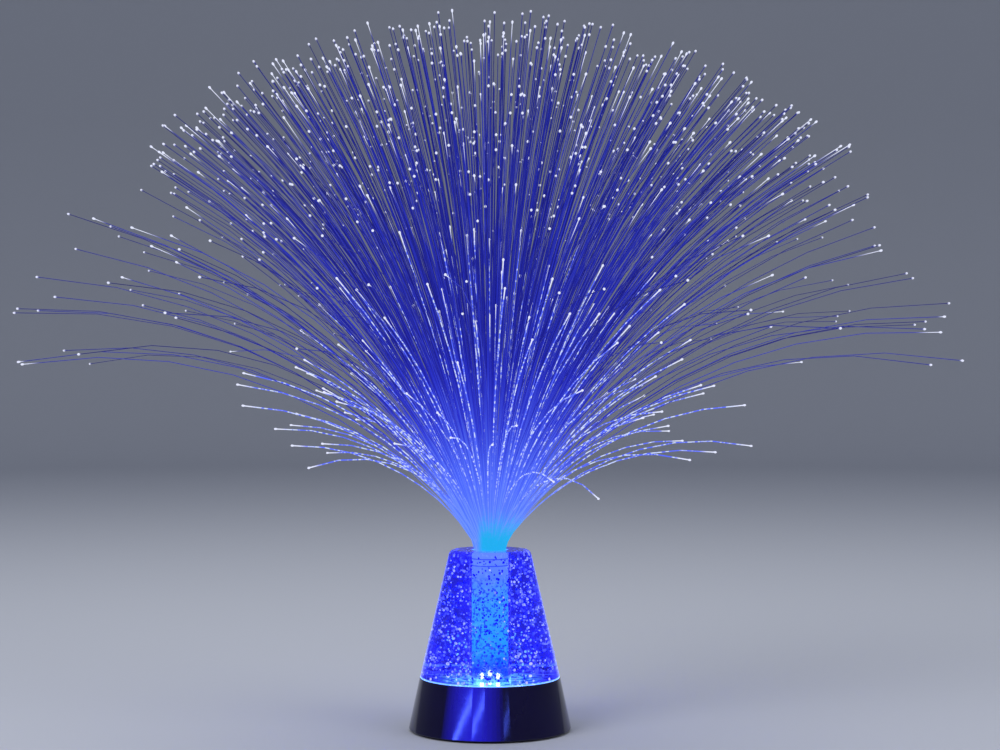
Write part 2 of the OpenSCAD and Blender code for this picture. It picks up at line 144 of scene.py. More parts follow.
class Paint:
    """A material: its uniform values are set on the shader, and its nodes come from one method."""

    def __init__(self, name, color, roughness=0.4, **uniform):
        self.material = bpy.data.materials.new(name)
        self.material.use_nodes = True
        self.tree = self.material.node_tree
        self.shader = self.tree.nodes["Principled BSDF"]
        self.put("Base Color", (*color, 1.0))
        self.put("Roughness", roughness)
        for socket, value in uniform.items():
            self.put(socket.replace("_", " "), value)

    def put(self, socket, value):
        self.feed(self.shader.inputs[socket], value)

    def feed(self, socket, value):
        if isinstance(value, Value):
            self.tree.links.new(value.socket, socket)
        else:
            socket.default_value = value

    def node(self, kind, settings=None, inputs=None, output=0):
        made = self.tree.nodes.new(kind)
        for name, value in (settings or {}).items():
            if name == "stops":
                while len(made.color_ramp.elements) < len(value):
                    made.color_ramp.elements.new(0.5)
                for element, (place, color) in zip(made.color_ramp.elements, value):
                    element.position = place
                    element.color = (*color, 1.0)
            else:
                setattr(made, name, value)
        for name, value in (inputs or {}).items():
            self.feed(made.inputs[name], value)
        return Value(self, made.outputs[output])

    def place(self):
        return self.node("ShaderNodeTexCoord", output=3)

    def stretched(self, upright):
        inputs = {"Vector": self.place(), "Scale": (1.0, 1.0, upright)}
        return self.node("ShaderNodeMapping", inputs=inputs)

    def attribute(self, name):
        return self.node("ShaderNodeAttribute", {"attribute_name": name}, output=2)

    def axis(self, index):
        return self.node("ShaderNodeSeparateXYZ", inputs={0: self.place()}, output=index)

    def distance_from(self, point):
        ends = {0: self.place(), 1: point}
        apart = self.node("ShaderNodeVectorMath", {"operation": "SUBTRACT"}, ends)
        return self.node("ShaderNodeVectorMath", {"operation": "LENGTH"}, {0: apart}, output=1)

    def noise(self, scale, detail=2.0, vector=None):
        inputs = {"Vector": vector or self.place(), "Scale": scale, "Detail": detail}
        return self.node("ShaderNodeTexNoise", inputs=inputs)

    def step(self, value, low, high):
        inputs = {0: value, 1: low, 2: high, 3: 0.0, 4: 1.0}
        return self.node("ShaderNodeMapRange", {"interpolation_type": "SMOOTHSTEP"}, inputs)

    def mix(self, share, first, second):
        colors = [c if isinstance(c, Value) else (*c, 1.0) for c in (first, second)]
        inputs = {0: share, 6: colors[0], 7: colors[1]}
        return self.node("ShaderNodeMix", {"data_type": "RGBA"}, inputs, output=2)

    def ramp(self, share, stops):
        return self.node("ShaderNodeValToRGB", {"stops": stops}, {0: share})

    def bump(self, height, strength, distance):
        inputs = {"Height": height, "Strength": strength, "Distance": distance}
        self.put("Normal", self.node("ShaderNodeBump", inputs=inputs))


def moulded(name, color, roughness, grain=0.15, **uniform):
    """Moulded plastic or rubber: a fine grain, with slightly uneven gloss and colour."""
    paint = Paint(name, color, roughness, **uniform)
    cloud = paint.noise(90.0, 4.0)
    darker = tuple(0.75 * c for c in color)
    paint.put("Base Color", paint.mix(cloud, darker, tuple(min(1.0, 1.2 * c) for c in color)))
    paint.put("Roughness", roughness * (0.8 + 0.4 * cloud))
    if grain:
        paint.bump(paint.noise(2600.0, 2.0), grain, 0.0001)
    return paint.material


def plated(name, color, roughness):
    """Nickel plate with faint brushing and dulled patches."""
    paint = Paint(name, color, roughness, Metallic=1.0)
    brush = paint.noise(900.0, 3.0, paint.stretched(14.0))
    paint.put("Roughness", roughness * (0.7 + 0.6 * brush))
    paint.put("Base Color", paint.mix(paint.noise(160.0), tuple(0.8 * c for c in color), color))
    return paint.material


def gloss_black():
    """The base cone: polished black plastic with light dust and fine rubbing marks."""
    paint = Paint("gloss black plastic", (0.003, 0.002, 0.024), 0.06, Specular_IOR_Level=0.45)
    rub = paint.noise(700.0, 5.0)
    cloud = paint.noise(45.0, 3.0)
    paint.put("Roughness", 0.045 + 0.08 * rub * cloud)
    paint.put("Base Color", paint.mix(cloud, (0.002, 0.001, 0.016), (0.005, 0.0025, 0.045)))
    paint.bump(paint.noise(130.0, 2.0), 0.02, 0.0005)
    return paint.material


def clear_acrylic():
    """The clear cone: blue acrylic whose light is a painted glow, with painted sparkles, a painted
    bright line of light round its foot and painted highlights on its edges. The face that rests in
    the base has a painted mottled pool of light, cyan in the middle."""
    paint = Paint(
        "clear acrylic", (0.035, 0.035, 1.0), 0.02,
        Transmission_Weight=1.0, IOR=1.14, Coat_Weight=0.4, Coat_Roughness=0.03,
        Emission_Strength=1.0,
    )
    height = paint.axis(2)
    # A painted bright line of light round the cone's foot
    from_rim = paint.step(height, RIM_Z - 0.0002, RIM_Z + 0.0001)
    foot = from_rim * (1.0 - paint.step(height, RIM_Z + 0.0003, RIM_Z + 0.0009))
    above = paint.step(height, RIM_Z - 0.0004, RIM_Z)
    # A painted glow in cloudy patches through the body, with painted sparkles of light
    cloud = paint.step(paint.noise(110.0, 5.0), 0.35, 0.65)
    painted_sparkle = paint.step(paint.noise(420.0, 2.0), 0.54, 0.68)
    body = paint.mix(cloud, (0.0, 0.0, 0.0), (0.004, 0.001, 0.22))
    with_sparkles = paint.mix(0.5 * painted_sparkle, body, (0.06, 0.1, 0.85))
    # Painted highlights where the surface turns away, fading out below the cone's top
    facing = paint.node("ShaderNodeLayerWeight", inputs={"Blend": 0.5}, output=1)
    edge = paint.step(facing, 0.74, 0.9)
    sides = 1.0 - paint.step(height, CONE_TOP_Z - EDGE_HIGHLIGHT_END[0], CONE_TOP_Z - EDGE_HIGHLIGHT_END[1])
    with_edge_highlight = paint.mix(0.6 * edge * sides, with_sparkles, (0.16, 0.24, 1.0))
    # A painted pool of light on the face that rests in the base, mottled, teal in the middle
    middle = 1.0 - paint.step(paint.distance_from((0.0, 0.0, RIM_Z)), *POOL_R)
    ripple = paint.step(paint.noise(260.0, 4.0), 0.4, 0.62)
    mottled = paint.mix(ripple, (0.03, 0.015, 0.2), (0.17, 0.26, 0.8))
    fine_ripple = paint.step(paint.noise(300.0, 4.0), 0.4, 0.62)
    teal = paint.mix(fine_ripple, (0.03, 0.5, 0.4), (0.85, 3.2, 0.75))
    lit = paint.mix(above, paint.mix(middle, mottled, teal), with_edge_highlight)
    line = paint.mix(paint.noise(240.0), (0.03, 0.5, 0.85), (0.5, 0.8, 1.0))
    paint.put("Emission Color", paint.mix(foot, lit, line))
    return paint.material


def lit_tube():
    """The centre tube: a painted glow, pale blue with darker level lines at the top, cyan lower
    down, teal round the LEDs.
    It is seen through the blue acrylic, so the red and green of its outside's painted glow are
    strong.
    The bore's painted glow is dimmer, and the lowest part is clear, so that the LEDs show."""
    paint = Paint("lit tube", (0.1, 0.3, 0.9), 0.25, Emission_Strength=11.6)
    height = paint.axis(2)
    rise = (height - RIM_Z) / (TUBE_TOP_Z - RIM_Z)
    streak = paint.noise(330.0, 4.0, paint.stretched(0.35))
    glow = paint.ramp((rise + 0.16 * (streak - 0.5)).within(), [
        (0.0, (0.02, 0.55, 0.076)),
        (0.14, (0.03, 0.62, 0.095)),
        (0.3, (0.05, 0.85, 0.13)),
        (0.62, (0.1, 0.8, 0.14)),
        (0.8, (0.24, 0.58, 0.16)),
        (1.0, (0.34, 0.64, 0.16)),
    ])
    # Darker level lines and, below them, darker spots painted into the tube's glow
    pitch = (height - RING_LOW_Z) / RING_PITCH
    ringed_part = paint.step(height, RING_LOW_Z, RING_LOW_Z + 0.001)
    ring = paint.step(pitch.math("FRACT", pitch), 0.78, 0.9) * ringed_part
    mottled_part = 1.0 - paint.step(height, RING_LOW_Z - 0.008, RING_LOW_Z)
    mottle = paint.step(paint.noise(620.0, 3.0), 0.5, 0.62) * mottled_part
    ringed = paint.mix(0.8 * ring, glow, (0.01, 0.06, 0.08))
    mottled = paint.mix(0.8 * mottle, ringed, (0.0, 0.04, 0.03))
    # The bore's painted glow is dimmer than that of the tube's outside
    across = (paint.axis(0) * paint.axis(0) + paint.axis(1) * paint.axis(1)) ** 0.5
    outside = paint.step(across, TUBE_R - 1.5 * TUBE_SKIN, TUBE_R - 0.5 * TUBE_SKIN)
    paint.put("Emission Color", paint.mix(outside, (0.006, 0.03, 0.07), mottled))
    paint.put("Alpha", 0.15 + 0.8 * paint.step(height, RIM_Z + 0.003, RIM_Z + 0.012))
    return paint.material


def lit_ferrule():
    """The ringed ferrule: pale blue light behind level rings."""
    paint = Paint("lit ferrule", (0.1, 0.3, 0.95), 0.2, Emission_Strength=0.9)
    streak = paint.noise(500.0, 2.0)
    paint.put("Emission Color", paint.mix(streak, (0.03, 0.28, 0.9), (0.12, 0.4, 1.0)))
    return paint.material


def lit_fibre():
    """Fibres with a painted glow: pale blue at the neck with a painted cyan patch of light on one
    side, navy along their length, painted white light at and behind the cut tip. The brightest
    carry painted broken glints of light all the way."""
    paint = Paint(
        "lit fibre", (0.004, 0.006, 0.05), 0.35,
        Specular_IOR_Level=0.25, Emission_Strength=1.0,
    )
    out = paint.distance_from((0.0, 0.0, FERRULE_TOP_Z)) / FIBRE_LEN
    to_tip = paint.attribute("to_tip")
    tone = paint.attribute("tone")
    # The tone sets how bright a fibre's painted glow is, from dim navy to pale blue
    dim_glow = paint.ramp(out, [
        (0.0, (0.1, 0.27, 1.0)),
        (0.12, (0.07, 0.14, 1.0)),
        (0.26, (0.015, 0.018, 0.55)),
        (0.42, (0.004, 0.003, 0.2)),
        (0.75, (0.003, 0.003, 0.13)),
        (1.0, (0.003, 0.003, 0.11)),
    ])
    bright_glow = paint.ramp(out, [
        (0.0, (0.17, 0.33, 1.0)),
        (0.15, (0.14, 0.24, 1.0)),
        (0.35, (0.03, 0.045, 0.65)),
        (1.0, (0.012, 0.02, 0.42)),
    ])
    body = paint.mix(tone, dim_glow, bright_glow)
    # A painted cyan patch of light near the neck, on the fibres on one side
    ragged = out + 0.05 * (paint.noise(500.0, 3.0) - 0.5)
    patch = (1.0 - paint.step(ragged, 0.035, 0.1)) * paint.step(paint.axis(0), -0.0065, -0.003)
    lit = paint.mix(patch, body, (0.015, 0.42, 0.82))
    bright = paint.step(tone, BRIGHT_TONE, BRIGHT_TONE + 0.06)
    carrying = bright * paint.step(out, 0.1, 0.27)
    broken = paint.step(paint.noise(560.0, 2.0), 0.46, 0.6)
    glinting = paint.mix(carrying, lit, paint.mix(broken, (0.09, 0.14, 1.0), (0.62, 0.72, 1.0)))
    # Painted white light at the cut tip, with a tail that runs back along the fibre
    tail = 0.0016 + 0.045 * (tone - 0.45).within() * (1.0 - 0.65 * bright)
    tip = 1.0 - paint.step(to_tip, 0.3 * tail, tail)
    paint.put("Emission Color", paint.mix(tip, glinting, (0.8, 0.84, 1.0)))
    return paint.material


def bubble_glint():
    """Bubbles in the acrylic, with painted light: some navy, as painted shade that is mostly in
    front of the tube, most a painted blue glow, some painted as catching the light, painted cyan
    light near the tube's foot, painted warm white or pink glints at the cone's foot. They are seen
    through the blue acrylic, so their painted red and green are strong."""
    paint = Paint("bubble glint", (0.06, 0.12, 0.8), 0.08, Emission_Strength=2.9)
    tone = paint.attribute("tone")
    tint = paint.attribute("tint")
    # Each bubble's painted glow by its tone: painted shade at the dark end, painted glints at the
    # bright end
    blue = paint.ramp(tone, [
        (0.0, (0.0, 0.0, 0.007)),
        (0.3, (0.0, 0.0, 0.035)),
        (0.36, (0.04, 0.05, 0.21)),
        (0.55, (0.13, 0.17, 0.32)),
        (0.8, (0.34, 0.44, 0.35)),
        (1.0, (0.8, 0.95, 0.4)),
    ])
    # Painted cyan light near the tube's foot, and painted warm white or pink glints
    cyan = paint.mix(tone, (0.0, 0.15, 0.1), (0.4, 1.0, 0.3))
    white, pink = (1.0, 1.0, 0.17), (1.0, 0.7, 0.28)
    warm = paint.ramp(tint, [(0.0, white), (0.5, white), (1.0, pink)])
    near = paint.mix(paint.step(tint, FOOT_LIGHT, -0.2), cyan, blue)
    paint.put("Emission Color", paint.mix(paint.step(tint, 0.05, 0.1), near, warm))
    return paint.material


def lit_lens():
    """LED bodies: clear lenses full of teal light, brighter towards the top."""
    paint = Paint("lit lens", (0.6, 0.85, 0.95), 0.1, Alpha=0.35, Emission_Strength=10.0)
    top = paint.step(paint.axis(2), LED_TOP_Z - LENS_LIT_H, LED_TOP_Z)
    paint.put("Emission Color", paint.mix(top, (0.02, 0.25, 0.05), (0.08, 0.75, 0.13)))
    return paint.material


def led_glow():
    """The patch of warm white light inside each lens."""
    paint = Paint(
        "led glow", (1.0, 1.0, 0.9), 0.4,
        Emission_Color=(1.0, 1.0, 0.15, 1.0), Emission_Strength=60.0,
    )
    return paint.material


def cell_sleeve():
    """Cells: a bare metallic sleeve with a darker band at the cap end."""
    paint = Paint("cell sleeve", (0.5, 0.52, 0.56), 0.3, Metallic=0.6)
    along = paint.axis(1)
    band = paint.step(along.math("ABSOLUTE", along), *BAND_Y)
    paint.put("Base Color", paint.mix(band, (0.5, 0.52, 0.56), (0.06, 0.06, 0.07)))
    paint.put("Roughness", 0.22 + 0.2 * paint.noise(120.0, 3.0))
    return paint.material


def solder_mask():
    """The circuit board: green mask over copper tracks."""
    paint = Paint("solder mask", (0.02, 0.2, 0.08), 0.3, Coat_Weight=0.3)
    tracks = paint.node("ShaderNodeTexVoronoi", {"feature": "DISTANCE_TO_EDGE"},
                        {"Vector": paint.place(), "Scale": 260.0})
    between = paint.step(tracks, 0.04, 0.07)
    paint.put("Base Color", paint.mix(between, (0.05, 0.33, 0.14), (0.015, 0.17, 0.07)))
    return paint.material


# ---------------------------------------------------------------- modelling helpers
def select_only(*objects):
    bpy.ops.object.select_all(action="DESELECT")
    for piece in objects:
        piece.select_set(True)
    bpy.context.view_layer.objects.active = objects[0]


def finish_piece(piece, name, material, smooth_angle=40.0):
    """Bakes the piece's place into its mesh, names it and gives it its material."""
    select_only(piece)
    bpy.ops.object.transform_apply(location=True, rotation=True, scale=True)
    bpy.ops.object.shade_smooth_by_angle(angle=math.radians(smooth_angle))
    piece.name = name
    piece.data.name = name
    piece.data.materials.clear()
    piece.data.materials.append(material)
    return piece


def egg(segments, rings, radius, stretch):
    """A small ball, stretched upright."""
    bpy.ops.mesh.primitive_uv_sphere_add(segments=segments, ring_count=rings, radius=radius)
    bpy.ops.object.mode_set(mode="EDIT")
    bpy.ops.transform.resize(value=(1.0, 1.0, stretch))
    bpy.ops.object.mode_set(mode="OBJECT")
    return bpy.context.object


def on_points(mesh, **numbers):
    """Gives each point of the mesh its numbers, which the material reads by their names."""
    for name, values in numbers.items():
        mesh.attributes.new(name, "FLOAT", "POINT").data.foreach_set("value", values)


def on_circle(radius, turn, height):
    return Vector((radius * math.cos(turn), radius * math.sin(turn), height))


# ---------------------------------------------------------------- the fibre spray
BUNDLE_R = 0.0072
BUNDLE_INSET = (0.0002, 0.0004)
FIBRE_R = 0.00015
BRIGHT_R = 0.00026
PROFILE_SIDES = 6
GOLDEN_TURN = math.pi * (3.0 - math.sqrt(5.0))

# How far a fibre may turn aside on its way, in radians, how much one that doesn't fit is shortened
# by at a time, and the lowest place for a tip
WANDER = (-0.16, 0.16)
SHORTENED = 0.985
LOW_TIP_Z = 0.7 * CONE_TOP_Z

# A fibre's path: the share of its lean that it takes on within EXIT_REACH of the neck, then an arc
EXIT_SHARE = 0.34
EXIT_REACH = 0.0035
RUNS = 11
RUN_GROWTH = 1.6
RUN_STEPS = 6

# The bead at a fibre's tip: places along it and radii, in tip radii
TIP_R = 0.00054
BEAD_NECK = -2.0
BEAD = [(-1.0, 0.75), (0.0, 1.0), (0.85, 0.62), (1.15, 0.12)]
BEAD_REACH = 1.4

# Long fibres: a dense cap, and the rest out to the edge. FULL_SHARE of them keep their full length
LONG_COUNT = 1200
DENSE_SHARE = 0.86
DENSE_LEAN = math.radians(64.0)
EDGE_LEAN = math.radians(100.0)
LEAN_SPREAD = (0.95, 1.06)
FULL_SHARE = 0.62
FULL_LEN = (0.94, 1.0)
CUT_LEN = (0.68, 0.95)
LONG_TONE = 0.79
TONE_FALL = 1.6

# Short bright fibres, which start in the outer part of the bundle and droop. A few stray further.
# Those that lean further out are shorter, and the arc is longer than the fibre
SHORT_COUNT = 150
SHORT_LEN = (0.11, 0.158)
SHORT_TRIM = 0.1
SHORT_ARC = 1.05
SHORT_TONE = (0.86, 1.0)
SHORT_START = (0.75, 1.0)
SHORT_FLOOR_Z = 0.092
DROOP_LEAN = math.radians(106.0)
DROOP_POWER = 0.88
DROOP_SPREAD = (0.92, 1.03)
STRAY_SHARE = 0.04
STRAY_DROOP = 1.18

SECTORS = [
    "right", "back_right", "back", "back_left",
    "left", "front_left", "front", "front_right",
]


def fibre_path(start_r, turn, lean, length, arc_len, wander):
    """Points of one fibre: up the bundle, out of the neck, then over in a widening arc.
    The arc reaches its full lean at arc_len."""
    points = [(start_r, FERRULE_Z + BUNDLE_INSET[0]), (start_r, FERRULE_TOP_Z - BUNDLE_INSET[1])]
    stations = [length * (i / RUNS) ** RUN_GROWTH for i in range(RUNS + 1)]
    radius, height = start_r, FERRULE_TOP_Z
    points.append((radius, height))
    for low, high in zip(stations, stations[1:]):
        run = (high - low) / RUN_STEPS
        for k in range(RUN_STEPS):
            s = low + (k + 0.5) * run
            leaving = EXIT_SHARE * (1.0 - math.exp(-s / EXIT_REACH))
            share = leaving + (1.0 - EXIT_SHARE) * s / arc_len
            radius += run * math.sin(lean * share)
            height += run * math.cos(lean * share)
        points.append((radius, height))
    placed = []
    for radius, height in points:
        side = turn + wander * max(0.0, radius - start_r) / FIBRE_LEN
        placed.append(on_circle(radius, side, height))
    return placed


def fits(path):
    """Whether the path's last points and its bead lie inside the CAD model's box."""
    reach = BEAD_REACH * TIP_R
    return all(
        max(abs(p.x), abs(p.y)) < SPRAY_REACH - reach and LOW_TIP_Z < p.z < SPRAY_TOP_Z - reach
        for p in path[-3:]
    )


def long_fibre(share):
    """Lean, length, arc and tone of a long fibre. The share is its place from the middle out."""
    if share < DENSE_SHARE:
        lean = math.acos(1.0 - share / DENSE_SHARE * (1.0 - math.cos(DENSE_LEAN)))
    else:
        lean = DENSE_LEAN + (EDGE_LEAN - DENSE_LEAN) * (share - DENSE_SHARE) / (1.0 - DENSE_SHARE)
    lean *= draw.uniform(*LEAN_SPREAD)
    full = draw.random() < FULL_SHARE
    length = FIBRE_LEN * draw.uniform(*(FULL_LEN if full else CUT_LEN))
    return lean, length, FIBRE_LEN, LONG_TONE * draw.random() ** TONE_FALL


def short_fibre(share):
    """Lean, length, arc and tone of a short bright fibre. It droops further than a long one."""
    stray = draw.random() < STRAY_SHARE
    droop = STRAY_DROOP if stray else draw.uniform(*DROOP_SPREAD)
    lean = DROOP_LEAN * share ** DROOP_POWER * droop
    length = draw.uniform(*SHORT_LEN) * (1.0 - SHORT_TRIM * share)
    return lean, length, SHORT_ARC * length, draw.uniform(*SHORT_TONE)


def fibre_plan():
    """Every fibre's sector, path and tone. A long one that starts further out leans further out.
    A fibre is shortened until its tip fits, and a short one also until its tip is high enough."""
    plan = []
    for count, kind in ((LONG_COUNT, long_fibre), (SHORT_COUNT, short_fibre)):
        for i in range(count):
            share = (i + 0.5) / count
            turn = (i * GOLDEN_TURN + count) % (2.0 * math.pi)
            lean, length, arc_len, tone = kind(share)
            outer = share if kind is long_fibre else draw.uniform(*SHORT_START)
            start_r = BUNDLE_R * math.sqrt(outer)
            wander = draw.uniform(*WANDER)
            path = fibre_path(start_r, turn, lean, length, arc_len, wander)
            while not fits(path) or (kind is short_fibre and path[-1].z < SHORT_FLOOR_Z):
                length *= SHORTENED
                path = fibre_path(start_r, turn, lean, length, arc_len, wander)
            sector = int(((turn + math.pi / 8.0) % (2.0 * math.pi)) / (math.pi / 4.0))
            plan.append((sector, path, tone))
    return plan


def with_tip(path, body_r):
    """The path's points and the fibre's radii there, ending in a small rounded bead."""
    end = path[-1]
    ahead = (end - path[-2]).normalized()
    points = list(path[:-1])
    radii = [body_r] * len(points)
    for along, radius in [(BEAD_NECK, body_r / TIP_R), *BEAD]:
        points.append(end + ahead * along * TIP_R)
        radii.append(radius * TIP_R)
    return points, radii


def fibre_piece(index, fibres, material):
    """One sector of the spray: every fibre is a spline with a round profile, made into a mesh."""
    curve = bpy.data.curves.new("fibre lines", "CURVE")
    curve.dimensions = "3D"
    curve.bevel_depth = 1.0
    curve.bevel_resolution = 1
    curve.use_fill_caps = False
    to_tip, tones = [], []
    for path, tone in fibres:
        points, radii = with_tip(path, BRIGHT_R if tone > BRIGHT_TONE else FIBRE_R)
        spline = curve.splines.new("POLY")
        spline.points.add(len(points) - 1)
        for point, place, radius in zip(spline.points, points, radii):
            point.co = (*place, 1.0)
            point.radius = radius
            to_tip += [(place - points[-1]).length] * PROFILE_SIDES
            tones += [tone] * PROFILE_SIDES
    piece = bpy.data.objects.new("fibre lines", curve)
    bpy.context.collection.objects.link(piece)
    select_only(piece)
    bpy.ops.object.convert(target="MESH")
    piece = bpy.context.view_layer.objects.active
    made = len(piece.data.vertices)
    if made != len(to_tip):
        raise RuntimeError(f"{made} points on the fibres, and not {len(to_tip)}")
    on_points(piece.data, to_tip=to_tip, tone=tones)
    bpy.ops.object.mode_set(mode="EDIT")
    bpy.ops.mesh.select_all(action="DESELECT")
    bpy.ops.mesh.select_non_manifold()
    bpy.ops.mesh.fill_holes(sides=PROFILE_SIDES)
    bpy.ops.mesh.select_all(action="SELECT")
    bpy.ops.mesh.normals_make_consistent(inside=False)
    bpy.ops.object.mode_set(mode="OBJECT")
    name = SECTORS[index]
    finish_piece(piece, f"spray_{name}", material, 60.0)
    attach(piece, "spray")
    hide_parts(f"fibres_{name}")
    return piece


def fibre_spray():
    """All the fibres, one piece for each eighth of the spray, in place of the CAD strands."""
    material = lit_fibre()
    plan = fibre_plan()
    for index in range(len(SECTORS)):
        fibre_piece(index, [fibre[1:] for fibre in plan if fibre[0] == index], material)


# ---------------------------------------------------------------- bubbles in the acrylic
BUBBLE_COUNT = 1900
BUBBLE_R = (0.00025, 0.00059)
BUBBLE_STRETCH = 1.18

# How near a bubble comes to the cone's outside and foot, to its top and to the tube
SKIN = 0.0012
TOP_GAP = 0.0028
TUBE_GAP = 0.0003

# Near the tube's foot FOOT_SHARE of the bubbles carry painted cyan light, and in front of the tube
# most carry painted shade, navy
FOOT_REACH = 0.009
FOOT_H = 0.02
FOOT_SHARE = 0.6
SHADED_SHARE = 0.8
SHADED_TONE = 0.33

# The ring of glints round the cone's foot: every third one is pink, and the others are warm white
GLINT_COUNT = 12
GLINT_R = 0.0006
GLINT_Z = 0.0011
GLINT_SHIFT = 0.1
PINK, WARM = 1.0, 0.3


def wall_r(height):
    """Radius of the clear cone's outside at a height."""
    return CONE_FOOT_R + (CONE_TOP_R - CONE_FOOT_R) * (height - RIM_Z) / (CONE_TOP_Z - RIM_Z)


def bubble_places():
    """Place, size, tone and kind of painted light of each bubble between the bore and the outside,
    and of the ring of glints. There are more bubbles towards the foot."""
    smallest, largest = BUBBLE_R
    places = []
    while len(places) < BUBBLE_COUNT:
        rise = draw.random() ** 1.35
        height = RIM_Z + SKIN + rise * (CONE_TOP_Z - RIM_Z - SKIN - TOP_GAP)
        size = smallest + (largest - smallest) * draw.random() ** 2.0
        low, high = TUBE_R + TUBE_GAP + size, wall_r(height) - SKIN - size
        share = draw.random() ** (0.75 if draw.random() < 0.45 else 0.5)
        radius = low + (high - low) * share
        # Bubbles near the tube's foot carry painted cyan light from it
        near_foot = radius < TUBE_R + FOOT_REACH and height < RIM_Z + FOOT_H
        tint = FOOT_LIGHT if near_foot and draw.random() < FOOT_SHARE else 0.0
        place = on_circle(radius, draw.uniform(0.0, 2.0 * math.pi), height)
        tone = draw.random()
        # Most bubbles in front of the tube are darkened: painted shade where the bright tube lies
        # behind them
        if abs(place.x) < TUBE_R and place.y < 0.0 and draw.random() < SHADED_SHARE:
            tone *= SHADED_TONE
        places.append((place, size, tone, tint))
    height = RIM_Z + GLINT_Z
    for i in range(GLINT_COUNT):
        turns = (i + draw.uniform(-GLINT_SHIFT, GLINT_SHIFT)) / GLINT_COUNT
        turn = 2.0 * math.pi * turns - math.pi / 2.0
        place = on_circle(wall_r(height) - SKIN, turn, height)
        places.append((place, GLINT_R, 1.0, PINK if i % 3 == 0 else WARM))
    return places


def bubbles():
    """One small bubble modelled once, a slightly stretched ball, and copied through the acrylic."""
    ball = egg(7, 5, 1.0, BUBBLE_STRETCH)
    swarm = bmesh.new()
    tones, light_kinds = [], []
    for place, size, tone, tint in bubble_places():
        first = len(swarm.verts)
        swarm.from_mesh(ball.data)
        swarm.verts.ensure_lookup_table()
        for vert in swarm.verts[first:]:
            vert.co = place + vert.co * size
            tones.append(tone)
            light_kinds.append(tint)
    mesh = bpy.data.meshes.new("bubbles")
    swarm.to_mesh(mesh)
    swarm.free()
    on_points(mesh, tone=tones, tint=light_kinds)
    ball.data = mesh
    finish_piece(ball, "acrylic_bubbles", bubble_glint(), 80.0)
    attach(ball, "base")


# ---------------------------------------------------------------- light inside the LEDs
GLOW_R = 0.001
GLOW_STRETCH = 1.5
GLOW_DROP = 0.0017
LED_COUNT = 3


def led_glows():
    """An upright egg of light inside each lens, modelled once and copied."""
    first = egg(14, 10, GLOW_R, GLOW_STRETCH)
    glows = [first]
    while len(glows) < LED_COUNT:
        select_only(first)
        bpy.ops.object.duplicate()
        glows.append(bpy.context.object)
    material = led_glow()
    for number, glow in enumerate(glows, 1):
        low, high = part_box(f"led_{number}")
        glow.location = ((low[0] + high[0]) / 2.0, (low[1] + high[1]) / 2.0, LED_TOP_Z - GLOW_DROP)
        finish_piece(glow, f"led_glow_{number}", material, 80.0)
        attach(glow, "base")


# ---------------------------------------------------------------- finishes of the CAD nodes
def paint_node(name, material):
    """Gives a CAD node its finish."""
    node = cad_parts[name]
    for slot in node.material_slots:
        slot.material = material


def finishes():
    """A finish for every CAD node but the fibres, which the spray's own pieces replace."""
    black = gloss_black()
    plate = moulded("grained black plastic", (0.022, 0.022, 0.026), 0.5)
    chip = moulded("chip moulding", (0.02, 0.02, 0.022), 0.55)
    nickel = plated("nickel plate", (0.72, 0.7, 0.66), 0.28)
    led = lit_lens()
    cell = cell_sleeve()
    paint_node("base_shell", black)
    for name in ("bottom_plate", "battery_door"):
        paint_node(name, plate)
    for name in ("battery_1", "battery_2", "battery_3"):
        paint_node(name, cell)
    for name in ("contact_springs", "contact_plates", "switch_housing", "switch_screws",
                 "board_screws", "bottom_screws"):
        paint_node(name, nickel)
    for name in ("controller_chip", "resistors"):
        paint_node(name, chip)
    for name in ("led_1", "led_2", "led_3"):
        paint_node(name, led)
    paint_node("circuit_board", solder_mask())
    paint_node("led_holder", moulded("white reflector", (0.85, 0.87, 0.9), 0.3, 0.05))
    paint_node("switch_slider", moulded("knob plastic", (0.6, 0.6, 0.62), 0.42, 0.1))
    paint_node("rubber_feet", moulded("black rubber", (0.02, 0.02, 0.02), 0.8, 0.4))
    paint_node("lead_wires", moulded("wire sleeve", (0.45, 0.02, 0.015), 0.4, 0.0))
    paint_node("crystal_cone", clear_acrylic())
    paint_node("centre_tube", lit_tube())
    paint_node("bundle_ferrule", lit_ferrule())


# ---------------------------------------------------------------- floor, light and camera
BACKDROP = (0.46, 0.48, 0.53)
BOWL_R = 2.7
BOWL_TURN_R = 0.7
BOWL_TOP_Z = 2.4
BOWL_TURN_STEPS = 8
BOWL_SIDES = 64


def bowl():
    """A plain round floor that curves up into a wall all the way round."""
    outline = [(BOWL_R, 0.0)]
    for i in range(1, BOWL_TURN_STEPS + 1):
        turn = math.pi / 2.0 * i / BOWL_TURN_STEPS
        out, up = math.sin(turn), 1.0 - math.cos(turn)
        outline.append((BOWL_R + BOWL_TURN_R * out, BOWL_TURN_R * up))
    outline.append((BOWL_R + BOWL_TURN_R, BOWL_TOP_Z))
    bpy.ops.mesh.primitive_plane_add(size=1.0)
    floor = bpy.context.object
    mesh = bpy.data.meshes.new("bowl")
    turns = [2.0 * math.pi * i / BOWL_SIDES for i in range(BOWL_SIDES)]
    points = [on_circle(radius, turn, height) for radius, height in outline for turn in turns]
    faces = [tuple(range(BOWL_SIDES))]
    for ring in range(len(outline) - 1):
        for i in range(BOWL_SIDES):
            low, after = ring * BOWL_SIDES + i, ring * BOWL_SIDES + (i + 1) % BOWL_SIDES
            faces.append((low + BOWL_SIDES, after + BOWL_SIDES, after, low))
    mesh.from_pydata(points, [], faces)
    floor.data = mesh
    paint = Paint("pale floor", BACKDROP, 0.7, Specular_IOR_Level=0.0)
    finish_piece(floor, "floor", paint.material, 60.0)


LAMP_AIM = Vector((0.0, 0.0, 0.12))


